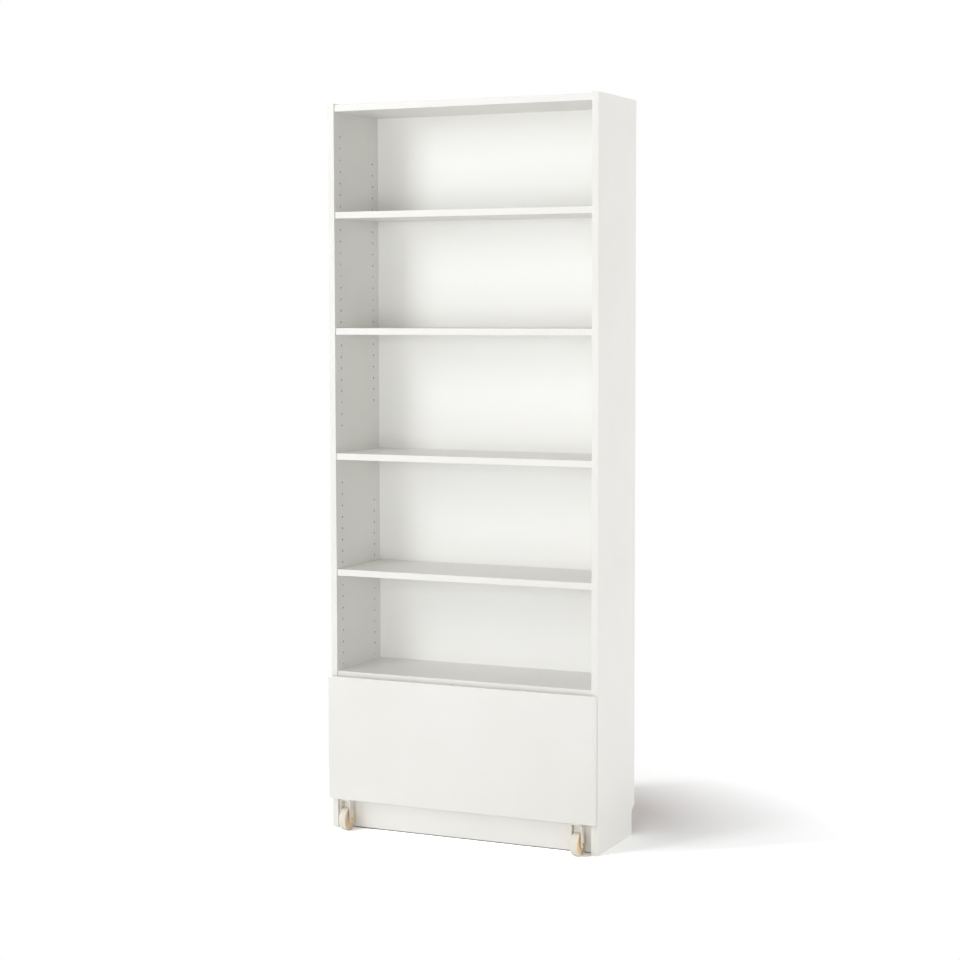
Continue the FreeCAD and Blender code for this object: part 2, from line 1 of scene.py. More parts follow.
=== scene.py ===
import json
import math
import bpy
import numpy as np
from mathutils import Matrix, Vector

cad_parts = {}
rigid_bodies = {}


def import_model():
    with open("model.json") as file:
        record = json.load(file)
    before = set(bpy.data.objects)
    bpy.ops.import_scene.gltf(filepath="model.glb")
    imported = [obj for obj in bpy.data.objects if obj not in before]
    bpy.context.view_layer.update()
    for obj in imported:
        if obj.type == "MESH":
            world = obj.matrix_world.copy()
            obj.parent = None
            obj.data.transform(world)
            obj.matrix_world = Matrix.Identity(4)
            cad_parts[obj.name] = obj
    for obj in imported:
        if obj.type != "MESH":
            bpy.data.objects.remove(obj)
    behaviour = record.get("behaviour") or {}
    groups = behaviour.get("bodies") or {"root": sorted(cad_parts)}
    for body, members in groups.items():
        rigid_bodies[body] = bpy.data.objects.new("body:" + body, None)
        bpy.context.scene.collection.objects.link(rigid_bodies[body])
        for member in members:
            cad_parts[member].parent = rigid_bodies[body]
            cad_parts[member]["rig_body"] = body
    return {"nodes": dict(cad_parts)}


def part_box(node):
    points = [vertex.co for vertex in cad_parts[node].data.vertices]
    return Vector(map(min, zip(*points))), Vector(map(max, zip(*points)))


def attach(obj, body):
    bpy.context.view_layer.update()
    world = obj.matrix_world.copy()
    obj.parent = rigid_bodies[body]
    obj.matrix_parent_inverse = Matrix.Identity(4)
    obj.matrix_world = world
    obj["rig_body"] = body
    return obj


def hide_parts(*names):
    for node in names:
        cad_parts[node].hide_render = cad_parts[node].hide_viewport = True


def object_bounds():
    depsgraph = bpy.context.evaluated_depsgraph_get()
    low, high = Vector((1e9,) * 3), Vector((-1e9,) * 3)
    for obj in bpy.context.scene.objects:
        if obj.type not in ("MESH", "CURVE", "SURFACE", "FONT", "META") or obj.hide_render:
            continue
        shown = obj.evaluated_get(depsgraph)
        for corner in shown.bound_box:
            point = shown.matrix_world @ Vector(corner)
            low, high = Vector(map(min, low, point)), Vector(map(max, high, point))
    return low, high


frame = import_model()
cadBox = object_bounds()
caseMiddle = sum(cadBox, Vector()) / 2
nodes = frame["nodes"]
scene = bpy.context.scene
axisX, axisY, axisZ = range(3)


class Socket:
    # one output of a shader node; Python's operators on it add Math nodes
    def __init__(self, tree, link):
        self.tree = tree
        self.link = link

    def maths(self, operation, *terms, clamp=False):
        settings = dict(operation=operation, use_clamp=clamp)
        return self.tree.node("ShaderNodeMath", settings, dict(enumerate(terms)))

    def __add__(self, other):
        return self.maths("ADD", self, other)

    __radd__ = __add__

    def __sub__(self, other):
        return self.maths("SUBTRACT", self, other)

    def __rsub__(self, other):
        return self.maths("SUBTRACT", other, self)

    def __mul__(self, other):
        return self.maths("MULTIPLY", self, other)

    __rmul__ = __mul__

    def __abs__(self):
        return self.maths("ABSOLUTE", self)

    def larger(self, other):
        return self.maths("MAXIMUM", self, other)

    def fold(self, half):
        # up from 0 to half and down again, over and over
        return self.maths("PINGPONG", self, half)

    def over(self, edge, soft):
        # 0 below edge, 1 above it, with a ramp of width soft
        return self.maths("MULTIPLY_ADD", self, 1 / soft, .5 - edge / soft, clamp=True)

    def under(self, edge, soft):
        # 1 below edge, 0 above it
        return self.maths("MULTIPLY_ADD", self, -1 / soft, .5 + edge / soft, clamp=True)

    def parted(self, soft):
        # a noise, which keeps near its middle of .5, pulled out until a width of soft fills 0 to 1
        return self.over(.5, soft)


class Tree:
    # a node tree, and the method that makes any node in it
    def __init__(self, nodeTree):
        self.nodeTree = nodeTree
        nodeTree.nodes.clear()

    def node(self, kind, settings=None, inputs=None, output=0):
        made = self.nodeTree.nodes.new(kind)
        for key, value in (settings or {}).items():
            setattr(made, key, value)
        for key, value in (inputs or {}).items():
            self.feed(made.inputs[key], value)
        return Socket(self, made.outputs[output]) if made.outputs else made

    def feed(self, entry, value):
        if isinstance(value, Socket):
            self.nodeTree.links.new(value.link, entry)
        elif entry.type == "RGBA" and len(value) == 3:
            entry.default_value = (*value, 1)
        else:
            entry.default_value = value

    def seenRay(self):
        # 1 for what the camera sees, straight or in a reflection or through glass
        path = self.node("ShaderNodeLightPath").link.node
        camera, glossy, through = [Socket(self, path.outputs[f"Is {kind} Ray"])
                                   for kind in ("Camera", "Glossy", "Transmission")]
        return camera.larger(glossy.larger(through))


class Finish(Tree):
    # a material with one Principled shader, read in object coordinates
    def __init__(self, name, **constants):
        self.material = bpy.data.materials.new(name)
        self.material.use_nodes = True
        super().__init__(self.material.node_tree)
        self.output = self.node("ShaderNodeOutputMaterial")
        self.shader = self.node("ShaderNodeBsdfPrincipled")
        self.set(**constants)
        self.surface(self.shader)
        self.place = self.node("ShaderNodeTexCoord", output="Object")

    def set(self, **inputs):
        # the argument Base_Color feeds the socket Base Color, and so on
        for key, value in inputs.items():
            words = key.replace("_", " ")
            self.feed(self.shader.link.node.inputs[words], value)

    def surface(self, shader):
        self.feed(self.output.inputs["Surface"], shader)

    def axes(self):
        split = self.node("ShaderNodeSeparateXYZ", {}, {0: self.place}).link.node
        return [Socket(self, split.outputs[k]) for k in range(3)]

    def moved(self, centre, scale=(1, 1, 1), turn=(0, 0, 0)):
        # object coordinates about centre, scaled and then turned
        about = self.node("ShaderNodeVectorMath", dict(operation="SUBTRACT"), {0: self.place, 1: centre})
        return self.node("ShaderNodeMapping", {}, {"Vector": about, "Scale": scale, "Rotation": turn})

    def noise(self, scale, detail, roughness, at=None):
        return self.node("ShaderNodeTexNoise", {}, {
            "Vector": at or self.place, "Scale": scale, "Detail": detail, "Roughness": roughness})

    def mix(self, share, first, second):
        # a Mix node keeps its colours in inputs 6 and 7 and in output 2
        return self.node("ShaderNodeMix", dict(data_type="RGBA"), {0: share, 6: first, 7: second}, 2)

    def bump(self, height, depth):
        # depth is the height in metres of a full step in the pattern
        return self.node("ShaderNodeBump", {}, {"Height": height, "Distance": depth, "Strength": 1})


def linear(red, green, blue):
    # a screen colour of 0 to 255 as the linear values that a socket takes
    part = np.array([red, green, blue]) / 255
    return tuple(np.where(part < .04045, part / 12.92, ((part + .055) / 1.055) ** 2.4).tolist())


def dress(finish, *names):
    for name in names:
        nodes[name].material_slots[0].material = finish.material


# in the dictionaries below a noise is (scale, detail, roughness), a name in Soft is the width of a change,
# and a name in Rougher is what a pattern adds to the roughness
foil = dict(
    white=linear(240, 239, 235), mottle=linear(236, 235, 230),
    # chipboard's colours, made darker than bare chipboard as a painted shade inside bores and grooves
    chip=linear(150, 124, 92), shadedChipDark=linear(88, 66, 44),
    skin=.0007,                     # foil and edge band are this thick
    notchTop=.084,                  # below this the side panels' rear cut is edged in white
    edgeSoft=.0002,
    cloud=(3.5, 4, .5), cloudSoft=.35,
    fleck=(420, 5, .7), fleckSoft=.2,
    emboss=(900, 2, .6), embossDepth=.00002,
    fleckRise=6,                    # how many times the embossing's depth the flecks of chipboard stand out
    roughness=.38, embossRougher=.08, chipRougher=.5,
    specular=.45,
)


def boardFinish(name, rawAbove=-1):
    # white foil outside; bores and grooves, which lie inside the board's own box, show chipboard where
    # they are higher than rawAbove; its colour is darkened, a painted shade in these hollows
    low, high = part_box(name)
    finish = Finish(name + "Foil", Specular_IOR_Level=foil["specular"])
    ways = finish.axes()
    inside = ways[axisZ].over(rawAbove, foil["edgeSoft"])
    for way, near, far in zip(ways, low, high):
        middle = (near + far) / 2
        reach = (far - near) / 2 - foil["skin"]
        inside = inside * abs(way - middle).under(reach, foil["edgeSoft"])
    cloud = finish.noise(*foil["cloud"])
    emboss = finish.noise(*foil["emboss"])
    flecks = finish.noise(*foil["fleck"])
    skin = finish.mix(cloud.parted(foil["cloudSoft"]), foil["white"], foil["mottle"])
    # chipboard with painted shade, for the inside of bores and grooves
    shadedChips = finish.mix(flecks.parted(foil["fleckSoft"]), foil["shadedChipDark"], foil["chip"])
    finish.set(Base_Color=finish.mix(inside, skin, shadedChips))
    sheen = (emboss - .5) * foil["embossRougher"] + foil["roughness"]
    finish.set(Roughness=inside * foil["chipRougher"] + sheen)
    height = emboss * (1 - inside) + flecks * inside * foil["fleckRise"]
    finish.set(Normal=finish.bump(height, foil["embossDepth"]))
    return finish


sidePanels = ["side_panel_left", "side_panel_right"]
boards = ["top_panel", "shelf_upper", "shelf_second", "shelf_fixed_middle", "shelf_lower",
          "shelf_over_drawer", "base_panel", "plinth_board",
          "drawer_front", "drawer_side_left", "drawer_side_right", "drawer_back"]
for panel in sidePanels:
    dress(boardFinish(panel, foil["notchTop"]), panel)
for board in boards:
    dress(boardFinish(board), board)
print("boards finished:", len(sidePanels) + len(boards))


hardboard = dict(
    white=linear(244, 244, 242), brown=linear(150, 112, 76), brownDark=linear(112, 80, 50),
    edgeSoft=.0002,
    fibre=(260, 6, .7), fibreSoft=.35,
    fibreInPrint=.12,               # the share of the fibre's relief that the print lets through
    cloud=(6, 3, .5),
    wire=.0009, wireSlope=1100,     # half the mesh of the press's wire, and how steep its mark is
    weaveDepth=.00008,
    roughness=.34, rawRoughness=.8, cloudRougher=.06,
)


def hardboardFinish(name, axis, printedLow):
    # one face is printed white, the other is bare brown fibre with the grid of the press's wire mesh
    low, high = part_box(name)
    finish = Finish(name + "Print")
    ways = finish.axes()
    through = ways.pop(axis)
    middle = (low[axis] + high[axis]) / 2
    soft = hardboard["edgeSoft"]
    raw = through.over(middle, soft) if printedLow else through.under(middle, soft)
    fibre = finish.noise(*hardboard["fibre"])
    cloud = finish.noise(*hardboard["cloud"])
    first, second = [way.fold(hardboard["wire"]) * hardboard["wireSlope"] for way in ways]
    screen = first.larger(second)
    bare = finish.mix(fibre.parted(hardboard["fibreSoft"]), hardboard["brownDark"], hardboard["brown"])
    finish.set(Base_Color=finish.mix(raw, hardboard["white"], bare))
    dulled = raw * (hardboard["rawRoughness"] - hardboard["roughness"])
    finish.set(Roughness=dulled + (cloud - .5) * hardboard["cloudRougher"] + hardboard["roughness"])
    height = raw * (screen + fibre) + (1 - raw) * fibre * hardboard["fibreInPrint"]
    finish.set(Normal=finish.bump(height, hardboard["weaveDepth"]))
    return finish


for leaf in ("back_panel_upper", "back_panel_lower"):
    dress(hardboardFinish(leaf, axisY, True), leaf)
dress(hardboardFinish("drawer_bottom", axisZ, False), "drawer_bottom")
print("hardboard finished")


grain = dict(
    drawnOut=.12, poresDrawnOut=1.6,        # scale along the grain, and its power for the pores
    tilt=(.12, .2, .1),                     # how the plank's heart lies to the piece, in radians
    distortion=2.2, ringDetail=2, ringShare=.5,
    broad=(38, 3, .5), broadShare=.35,
    pores=(900, 4, .6), poresAbove=.63, poresSoft=.08, poresShare=.4, poresRougher=.15,
    coatRoughness=.25,
)
ringSpacing = math.pi / 10                  # between the rings of a wave texture at scale 1
birch = dict(
    pale=linear(244, 214, 172), dark=linear(228, 190, 142), pore=linear(200, 158, 112),
    ring=.012064, roughness=.36, coat=.35, poreDepth=.00003,
)
beech = dict(
    pale=linear(222, 186, 144), dark=linear(198, 156, 112), pore=linear(160, 116, 76),
    ring=.01508, roughness=.6, coat=0, poreDepth=.00005,
)


def woodFinish(name, centre, grainAxis, wood):
    # growth rings are a wave on a plank's coordinates, pulled out along the grain, with fine pores
    finish = Finish(name, Coat_Weight=wood["coat"], Coat_Roughness=grain["coatRoughness"])
    pull = np.ones(3)
    pull[grainAxis] = grain["drawnOut"]
    plank = finish.moved(centre, tuple(pull), grain["tilt"])
    rings = finish.node("ShaderNodeTexWave", dict(wave_type="RINGS", rings_direction="Z"), {
        "Vector": plank, "Scale": ringSpacing / wood["ring"],
        "Distortion": grain["distortion"], "Detail": grain["ringDetail"]})
    fine = finish.noise(*grain["pores"], finish.moved(centre, tuple(pull ** grain["poresDrawnOut"])))
    broad = finish.noise(*grain["broad"], plank)
    share = rings * grain["ringShare"] + broad * grain["broadShare"]
    colour = finish.mix(share, wood["pale"], wood["dark"])
    pores = fine.over(grain["poresAbove"], grain["poresSoft"])
    finish.set(Base_Color=finish.mix(pores * grain["poresShare"], colour, wood["pore"]))
    finish.set(Roughness=pores * grain["poresRougher"] + wood["roughness"])
    finish.set(Normal=finish.bump(1 - pores, wood["poreDepth"]))
    return finish


def middleOf(name):
    low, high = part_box(name)
    return tuple((low + high) / 2)


for wheel in ("caster_wheel_left", "caster_wheel_right"):
    dress(woodFinish(wheel + "Birch", middleOf(wheel), axisZ, birch), wheel)
beechWood = woodFinish("dowelBeech", (0, 0, 0), axisX, beech)
print("wood finished")


enamel = dict(
    cream=linear(243, 237, 225), thin=linear(232, 224, 209),
    cloud=(45, 3, .5), cloudSoft=.5,
    peel=(700, 2, .5), peelDepth=.00003, peelRougher=.1, roughness=.3,
    coat=.3, coatRoughness=.15,
)


def enamelFinish():
    # baked enamel with a little orange peel, thinner in clouds
    finish = Finish("creamEnamel", Coat_Weight=enamel["coat"], Coat_Roughness=enamel["coatRoughness"])
    peel = finish.noise(*enamel["peel"])
    cloud = finish.noise(*enamel["cloud"])
    finish.set(Base_Color=finish.mix(cloud.parted(enamel["cloudSoft"]), enamel["cream"], enamel["thin"]))
    finish.set(Roughness=(peel - .5) * enamel["peelRougher"] + enamel["roughness"])
    finish.set(Normal=finish.bump(peel, enamel["peelDepth"]))
    return finish


plating = dict(
    pitsPerCrystal=3, pitDetail=3, pitRoughness=.6,
    crystalShare=.6, pitShare=.4,           # of the change from bright to dull
    crystalRougher=.12, pitRougher=.1,
)
platedSteel = dict(
    bright=linear(214, 214, 212), dull=linear(186, 187, 188), roughness=.24, pitDepth=.00001, crystals=900,
)
castMetal = dict(
    bright=linear(196, 196, 196), dull=linear(164, 165, 168), roughness=.42, pitDepth=.00004, crystals=1500,
)
rivet = dict(
    bright=linear(228, 219, 203), dull=linear(202, 191, 173), roughness=.42, pitDepth=.00002, crystals=900,
    soot=linear(62, 53, 44), mouth=.0021, mouthSoft=.0003,      # painted shade: the bore is painted dark up to its rolled mouth
)


def platedFinish(name, metal):
    # flat crystals, each with its own tone, and fine pits over them
    finish = Finish(name, Metallic=1.0)
    crystals = finish.node("ShaderNodeTexVoronoi", dict(feature="F1"), {
        "Vector": finish.place, "Scale": metal["crystals"]}, output="Color")
    tone = finish.node("ShaderNodeSeparateColor", {}, {0: crystals})
    pitScale = metal["crystals"] * plating["pitsPerCrystal"]
    pits = finish.noise(pitScale, plating["pitDetail"], plating["pitRoughness"])
    share = tone * plating["crystalShare"] + pits * plating["pitShare"]
    finish.colour = finish.mix(share, metal["bright"], metal["dull"])
    finish.set(Base_Color=finish.colour)
    dulled = tone * plating["crystalRougher"] + pits * plating["pitRougher"]
    finish.set(Roughness=dulled + metal["roughness"])
    finish.set(Normal=finish.bump(pits, metal["pitDepth"]))
    return finish


def rivetFinish(name):
    # plated outside; nearer to the axis than its mouth, the bore is not metal but painted dark, a painted
    # shade in the hollow
    finish = platedFinish("nickelRivet", rivet)
    acrossAxis = finish.moved(middleOf(name), (0, 1, 1))
    away = finish.node("ShaderNodeVectorMath", dict(operation="LENGTH"), {0: acrossAxis}, "Value")
    bore = away.under(rivet["mouth"], rivet["mouthSoft"])
    # painted shade: inside the mouth the colour turns dark and the metal dull
    finish.set(Base_Color=finish.mix(bore, finish.colour, rivet["soot"]), Metallic=1 - bore)
    return finish


moulding = dict(grain=(1400, 3, .6), grainRougher=.12, flow=(90, 2, .5), flowSoft=.6)
greyPlastic = dict(
    colour=linear(186, 186, 184), shade=linear(176, 176, 174), roughness=.45, grainDepth=.00002,
)
creamRubber = dict(
    colour=linear(238, 235, 223), shade=linear(230, 226, 212), roughness=.5, grainDepth=.00002,
)
clearRubber = dict(
    colour=linear(222, 222, 218), shade=linear(214, 214, 208), roughness=.3, grainDepth=.00001,
    clearness=.5, refraction=1.45,
)


def mouldedFinish(name, stuff):
    # a fine grain, and faint flow marks that shade the colour
    finish = Finish(name)
    fine = finish.noise(*moulding["grain"])
    flow = finish.noise(*moulding["flow"])
    finish.set(Base_Color=finish.mix(flow.parted(moulding["flowSoft"]), stuff["colour"], stuff["shade"]))
    finish.set(Roughness=(fine - .5) * moulding["grainRougher"] + stuff["roughness"])
    finish.set(Normal=finish.bump(fine, stuff["grainDepth"]))
    return finish


zinc = platedFinish("brightZinc", platedSteel)
castZinc = platedFinish("castZinc", castMetal)
pad = mouldedFinish("clearRubber", clearRubber)
pad.set(Transmission_Weight=clearRubber["clearness"], IOR=clearRubber["refraction"])

dress(enamelFinish(), "caster_fork_left", "caster_fork_right")
dress(mouldedFinish("creamRubber", creamRubber), "caster_tyre_left", "caster_tyre_right")
dress(rivetFinish("caster_axles"), "caster_axles")
dress(zinc, "rear_roller_studs", "rear_roller_bracket_left", "rear_roller_bracket_right")
dress(mouldedFinish("greyPlastic", greyPlastic),
      "caster_bush_left", "caster_bush_right", "rear_roller_left", "rear_roller_right",
      "roller_stop_left", "roller_stop_right")
print("metal and plastic finished")


arc = dict(steps=4, lead=.4)        # parts of a fillet's arc, and how far past it, in radii, the flats begin


def rounded(corners):
    # a line through the corners (radius, along, fillet): each corner becomes an arc of its fillet,
    # with one point before and after it so that the flat parts shade flat
    line = [corners[0][:2]]
    for before, here, after in zip(corners, corners[1:], corners[2:]):
        point, fillet = np.array(here[:2]), here[2]
        back, on = [(np.array(other[:2]) - point) / math.dist(other[:2], point) for other in (before, after)]
        half = math.acos(max(-1, min(1, back @ on))) / 2
        centre = point + (back + on) / np.linalg.norm(back + on) * fillet / math.sin(half)
        start, end = [point + way * fillet / math.tan(half) for way in (back, on)]
        first, last = [math.atan2(*(spot - centre)[::-1]) for spot in (start, end)]
        turn = (last - first + math.pi) % (2 * math.pi) - math.pi
        angles = first + turn * np.linspace(0, 1, arc["steps"] + 1)
        line.append(start + back * fillet * arc["lead"])
        line.extend(centre + fillet * np.stack([np.cos(angles), np.sin(angles)], -1))
        line.append(end + on * fillet * arc["lead"])
    line.append(corners[-1][:2])
    return np.array([tuple(spot) for spot in line]).T


def turns(sides):
    # the angles of a ring of points
    return np.arange(sides) * 2 * np.pi / sides


def asRows(radius, sides):
    # one radius for each height, the same all the way round
    return np.repeat(np.asarray(radius)[:, None], sides, 1)


def lathe(radius, along, sides):
    # at height along[i] and turn a the surface is radius[i](a) from the axis: x = r cos a, y = r sin a,
    # z = along[i]; each end is closed by a fan of triangles round a point on the axis
    radius = np.broadcast_to(radius.T, (sides, len(along))).T
    height = np.broadcast_to(along, (sides, len(along))).T
    turn = turns(sides)
    grid = np.stack([radius * np.cos(turn), radius * np.sin(turn), height], -1).reshape(-1, 3)
    index = np.arange(len(grid)).reshape(len(along), sides)
    beside = np.roll(index, -1, 1)
    quads = np.stack([index[:-1], beside[:-1], beside[1:], index[1:]], -1).reshape(-1, 4)
    foot, crown = np.full(sides, len(grid)), np.full(sides, len(grid) + 1)
    footFan = np.stack([foot, beside[0], index[0]], -1)
    crownFan = np.stack([crown, index[-1], beside[-1]], -1)
    points = np.vstack([grid, [[0, 0, along[0]], [0, 0, along[-1]]]])
    return points, quads.tolist() + footFan.tolist() + crownFan.tolist()


def solidsOf(name, decimals=6):
    # the corners of each loose solid in a node: corners at one place are one, and each pass hands the
    # lowest label along every triangle until nothing changes
    mesh = nodes[name].data
    mesh.calc_loop_triangles()
    points = np.empty(len(mesh.vertices) * 3)
    mesh.vertices.foreach_get("co", points)
    corners = np.empty(len(mesh.loop_triangles) * 3, int)
    mesh.loop_triangles.foreach_get("vertices", corners)
    spots, same = np.unique(points.reshape(-1, 3).round(decimals), axis=0, return_inverse=True)
    triangles = same.ravel()[corners].reshape(-1, 3)
    label, before = np.arange(len(spots)), None
    while not np.array_equal(label, before):
        before = label.copy()
        np.minimum.at(label, triangles.ravel(), np.repeat(label[triangles].min(1), 3))
    return [spots[label == one] for one in np.unique(label)]


def stand(points, foot, axis, way):
    # local z goes along the axis, way +1 or -1, and the others turn with it
    side, up = (axis + 1) % 3, (axis + 2) % 3
    placed = np.empty_like(points)
    placed[:, side] = points[:, 0]
    placed[:, up] = way * points[:, 1]
    placed[:, axis] = way * points[:, 2]
    return placed + foot


sharpFrom = math.radians(38)        # edges that bend more than this stay sharp


def addPiece(node, parts, finish):
    # the parts become one mesh that stands for the node on the node's own body
    words = node.split("_")
    mesh = bpy.data.meshes.new(words[0] + "".join(word.capitalize() for word in words[1:]))
    starts = np.cumsum([0] + [len(points) for points, faces in parts]).tolist()
    faces = [[corner + start for corner in face]
             for start, (points, each) in zip(starts, parts) for face in each]
    mesh.from_pydata(np.vstack([points for points, each in parts]).tolist(), [], faces)
    mesh.materials.append(finish.material)
    mesh.shade_smooth()
    mesh.set_sharp_from_angle(angle=sharpFrom)
    piece = bpy.data.objects.new(mesh.name, mesh)
    scene.collection.objects.link(piece)
    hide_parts(node)
    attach(piece, nodes[node]["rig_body"])


def refit(node, axis, make, headWay, finish):
    # each solid of the node is made again in detail between the same two ends; from its middle, headWay
    # says which way along the axis its head looks, +1 or -1
    parts = []
    for solid in solidsOf(node):
        low, high = solid.min(0), solid.max(0)
        foot = (low + high) / 2
        way = headWay(foot, axis)
        foot[axis] = low[axis] if way > 0 else high[axis]
        points, faces = make(high[axis] - low[axis])
        parts.append((stand(points, foot, axis, way), faces))
    addPiece(node, parts, finish)


thread = dict(
    pitch=.0020, tooth=.0006, flank=.25,    # flank is half a tooth's width, in pitches
    stepsPerPitch=6, start=.0004,           # start is how far from the end the first ring of points stands
)


def threaded(radius, end, sides):
    # a helical tooth on a core: its height is a tent over the phase along / pitch - turn / full turn,
    # and it fades in and out over one pitch
    pitch, tooth, start = thread["pitch"], thread["tooth"], thread["start"]
    along = np.arange(start, end, pitch / thread["stepsPerPitch"])
    phase = (along[:, None] / pitch - np.arange(sides) / sides) % 1
    tent = np.clip(1 - abs(phase - .5) / thread["flank"], 0, 1)
    fadeIn = np.clip((along - start) / pitch, 0, 1)[:, None]
    fadeOut = np.clip((end - along) / pitch, 0, 1)[:, None]
    return radius - tooth + tooth * tent * (fadeIn * fadeOut), along


driver = dict(
    barAngle=math.radians(15),              # half the angle that a bar of the cross fills
    wall=[(1.06, 0), (1, 0), (.97, .12), (.72, .85), (.3, 1)],      # (share of the outline, of the depth)
    barely=1e-6,                            # the least sine or cosine that is divided by
)


def crossRecess(top, reach, depth, sides):
    # a driver's cross: its outline is the farther of two crossed bars, as a function of the turn
    turn = turns(sides)
    width = reach * math.tan(driver["barAngle"])
    cos = np.maximum(abs(np.cos(turn)), driver["barely"])
    sin = np.maximum(abs(np.sin(turn)), driver["barely"])
    outline = np.maximum(np.minimum(reach / cos, width / sin), np.minimum(reach / sin, width / cos))
    shares, falls = np.array(driver["wall"]).T
    return shares[:, None] * outline, top - falls * depth


# in the dictionaries of the fasteners core is the radius at which the fans that close the ends begin
steelNail = dict(
    shank=.0008, point=.0024, head=.0019, thick=.0006, core=.00005,
    crown=.45,                              # where the head's rounding ends, as a share of its thickness
    sides=16,
)


def nail(length):
    # a point, a shank and a low head
    shank, head, core = steelNail["shank"], steelNail["head"], steelNail["core"]
    under = length - steelNail["thick"]
    crown = length - steelNail["thick"] * steelNail["crown"]
    radius, along = rounded([
        (core, 0), (shank, steelNail["point"], .0006), (shank, under, .0001),
        (head, under, .00008), (head, crown, .0001), (core, length)])
    return lathe(radius, along, steelNail["sides"])


steelPin = dict(
    radius=.00245, core=.0004, nose=.0009,
    seat=.009, chamfer=.0004, chamferLength=.0006,      # the end inside the side panel
    groove=.0003, slope=.0004,
    rib=.00008, ribs=12, ribsFromEnd=.0009,             # the seat is ribbed to bite in its hole
    sides=24,
)


def shelfPin(length):
    # a ribbed seat, a groove at the panel's face and a smooth end under the shelf
    radius, core, nose = steelPin["radius"], steelPin["core"], steelPin["nose"]
    seat, slope, sides = steelPin["seat"], steelPin["slope"], steelPin["sides"]
    grooved = radius - steelPin["groove"]
    line, along = rounded([
        (core, 0), (radius - steelPin["chamfer"], 0, .0002), (radius, steelPin["chamferLength"], .0003),
        (radius, seat - 2 * slope, .0002), (grooved, seat - slope, .0002), (grooved, seat, .0002),
        (radius, seat + slope, .0002), (radius, length - nose, .0004), (radius - nose, length, .0004),
        (core, length)])
    seated = (abs(along - seat / 2) < seat / 2 - steelPin["ribsFromEnd"])[:, None]
    ribs = steelPin["rib"] * (1 + np.cos(turns(sides) * steelPin["ribs"])) / 2
    return lathe(asRows(line, sides) - seated * ribs, along, sides)


woodScrew = dict(
    plain=.0008, neck=.0006,                # from the head down to the thread, and to the neck
    tipShare=.15, tipRise=.004,             # the point's share of the radius, and the length of a rise by 1
    face=.58, crossReach=.5, crossDepth=.7,     # shares of the head's radius, its radius and its thickness
    sides=48,
)
panHead = dict(
    shank=.0022, head=.0030, thick=.0016,
    brow=.55, crown=.72,                    # brow is a share of the head's thickness, crown of its radius
)
sunkHead = dict(shank=.0022, head=.0042, thick=.0030, rim=.0004)


def screw(length, size, crown):
    # a thread with a point, a thin neck, the head's own outline and the cross in its face
    head, thick, sides = size["head"], size["thick"], woodScrew["sides"]
    neck = size["shank"] - thread["tooth"]
    tooth, toothAlong = threaded(size["shank"], length - thick - woodScrew["plain"], sides)
    point = np.clip(woodScrew["tipShare"] + toothAlong / woodScrew["tipRise"], 0, 1)
    cap, capAlong = rounded([
        (neck, length - thick - woodScrew["neck"]), (neck, length - thick, .0001), *crown,
        (head * woodScrew["face"], length)])
    cross, crossAlong = crossRecess(
        length, head * woodScrew["crossReach"], thick * woodScrew["crossDepth"], sides)
    radius = np.vstack([tooth * point[:, None], asRows(cap, sides), cross])
    return lathe(radius, np.concatenate([toothAlong, capAlong, crossAlong]), sides)


def panScrew(length):
    # a head that stands on the surface, with a rounded brow
    head, thick = panHead["head"], panHead["thick"]
    return screw(length, panHead, [
        (head, length - thick, .0001), (head, length - thick * panHead["brow"], .0007),
        (head * panHead["crown"], length, .0008)])


def sunkScrew(length):
    # a head that widens from the neck to a thin rim, level with the surface
    head = sunkHead["head"]
    return screw(length, sunkHead, [(head, length - sunkHead["rim"], .0002), (head, length, .0002)])


steelBolt = dict(
    thread=.0030, shoulder=.0002, shaft=.0024, ball=.0030, core=.0003,
    waist=.62, crown=.8,                    # waist is a share of the shaft's radius, crown of the ball's
    threadEnd=.0100, shoulderAt=(.0102, .0106, .0118), shaftFrom=.0122,
    waistFromEnd=(.0070, .0062, .0036), ballFromEnd=.0026,
    sides=32,
)


def camBolt(length):
    # a coarse thread for the board, a shoulder, a smooth shaft and the ball that the cam draws in
    wide, shaft, ball = steelBolt["thread"], steelBolt["shaft"], steelBolt["ball"]
    waist, sides = shaft * steelBolt["waist"], steelBolt["sides"]
    under, low, high = steelBolt["shoulderAt"]
    shaftEnd, waistLow, waistHigh = [length - back for back in steelBolt["waistFromEnd"]]
    bite, biteAlong = threaded(wide, steelBolt["threadEnd"], sides)
    rest, restAlong = rounded([
        (wide - steelBolt["shoulder"], under), (wide, low, .0002), (wide, high, .0002),
        (shaft, steelBolt["shaftFrom"], .0003), (shaft, shaftEnd, .0003),
        (waist, waistLow, .0003), (waist, waistHigh, .0004),
        (ball, length - steelBolt["ballFromEnd"], .0008), (ball * steelBolt["crown"], length, .0010),
        (steelBolt["core"], length)])
    radius = np.vstack([bite, asRows(rest, sides)])
    return lathe(radius, np.concatenate([biteAlong, restAlong]), sides)


camDrum = dict(
    core=.0003, chamfer=.0004, chamferLength=.0006,
    rimOuter=.0005, rimInner=.0014, faceEdge=.0018,     # inwards from the drum's wall
    sunk=.0005,                                         # the face lies this far below the rim
    lip=1.25, crossDepth=.0030,                         # lip: where the face ends, in reaches of the cross
    sides=96,
)
caseDrum = dict(radius=.0074, reach=.0031)
drawerDrum = dict(radius=.0059, reach=.0026)


